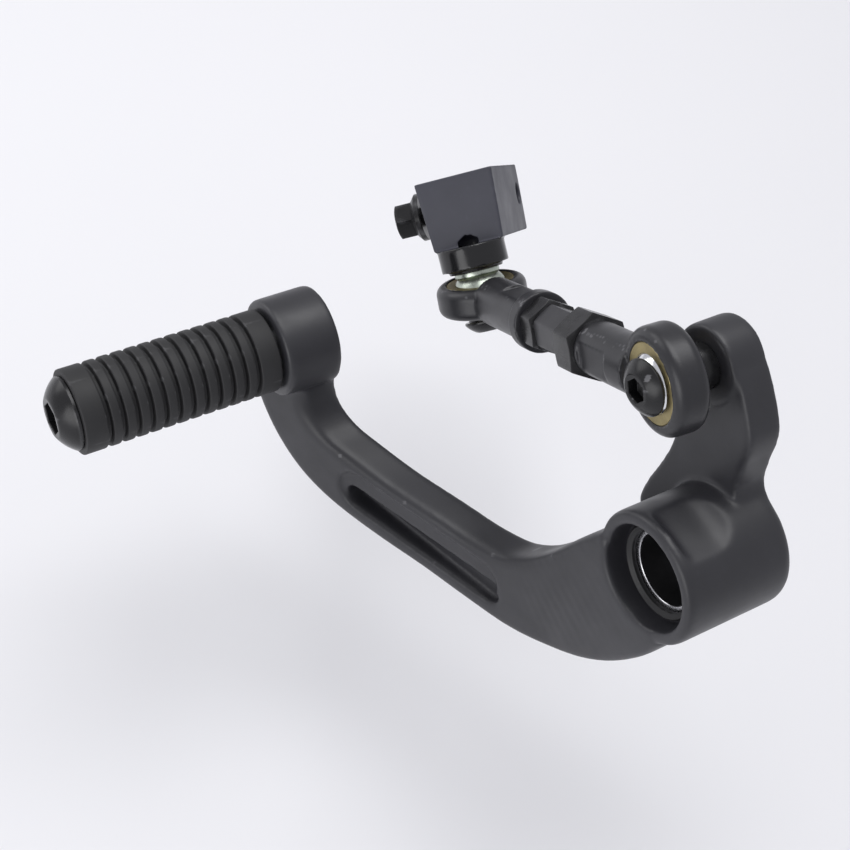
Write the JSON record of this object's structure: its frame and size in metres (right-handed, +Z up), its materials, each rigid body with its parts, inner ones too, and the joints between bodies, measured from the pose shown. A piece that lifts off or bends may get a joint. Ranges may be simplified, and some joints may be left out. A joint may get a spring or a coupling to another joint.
{
  "type": "motorcycle gear shift lever",
  "caption": "Cranked gear shift lever with a ribbed toe peg, pivot hub and ball-jointed link to a slotted shaft clamp, black painted metal",
  "frame": {"origin": "on the pivot axis, at the outer mouth of the pivot bush", "axes": "+Y along the pivot axis, outboard; +X forward, towards the toe peg; +Z up"},
  "size_m": [0.1393, 0.1267, 0.0941],
  "materials": {
    "black_paint": "satin black paint with a fine grain",
    "bush_steel": "turned",
    "seal_rubber": "moulded",
    "plain_steel": "drawn tube",
    "peg_rubber": "matte",
    "black_screw": "blackened steel",
    "zinc_steel": "zinc plated",
    "ball_steel": "polished",
    "rod_end_black": "blackened steel",
    "race_brass": "dull",
    "link_black": "satin anodised black",
    "clamp_paint": "satin bluish grey paint"
  },
  "bodies": {
    "lever": {"lever_arm": "black_paint", "pivot_bush": "bush_steel", "outer_seal": "seal_rubber", "inner_seal": "seal_rubber", "peg_tube": "plain_steel", "peg_rubber": "peg_rubber", "peg_cap_screw": "black_screw", "joint_spacer_1": "black_screw", "joint_screw_1": "black_screw"},
    "ball_1": {"joint_ball_1": "ball_steel"},
    "link": {"rod_end_1": "rod_end_black", "race_1": "race_brass", "lock_nut_1": "black_screw", "hex_rod": "link_black", "lock_nut_2": "black_screw", "rod_end_2": "rod_end_black", "race_2": "race_brass"},
    "ball_2": {"joint_ball_2": "zinc_steel"},
    "shaft_clamp": {"clamp_collar": "zinc_steel", "joint_screw_2": "black_screw", "clamp_block": "clamp_paint", "pinch_bolt": "black_screw"}
  },
  "joints": [
    {"name": "link_swing", "type": "hinge", "parent": "lever", "child": "ball_1", "pos_m": [0.0181, -0.00316, 0.032], "axis": [0, 1, 0], "range_deg": [-150, 30]},
    {"name": "link_tilt", "type": "hinge", "parent": "ball_1", "child": "link", "pos_m": [0.0181, -0.00316, 0.032], "axis": [0.585, 0, 0.8111], "range_deg": [-0.5, 10.5]},
    {"name": "clamp_tilt", "type": "hinge", "parent": "link", "child": "ball_2", "pos_m": [0.08433, -0.01683, -0.01577], "axis": [0.1617, 0.9799, -0.1166], "range_deg": [-20, 0.5]},
    {"name": "clamp_spin", "type": "hinge", "parent": "ball_2", "child": "shaft_clamp", "pos_m": [0.08433, -0.01683, -0.01577], "axis": [0.7431, -0.0432, 0.6678], "range_deg": [-60, 35]}
  ]
}
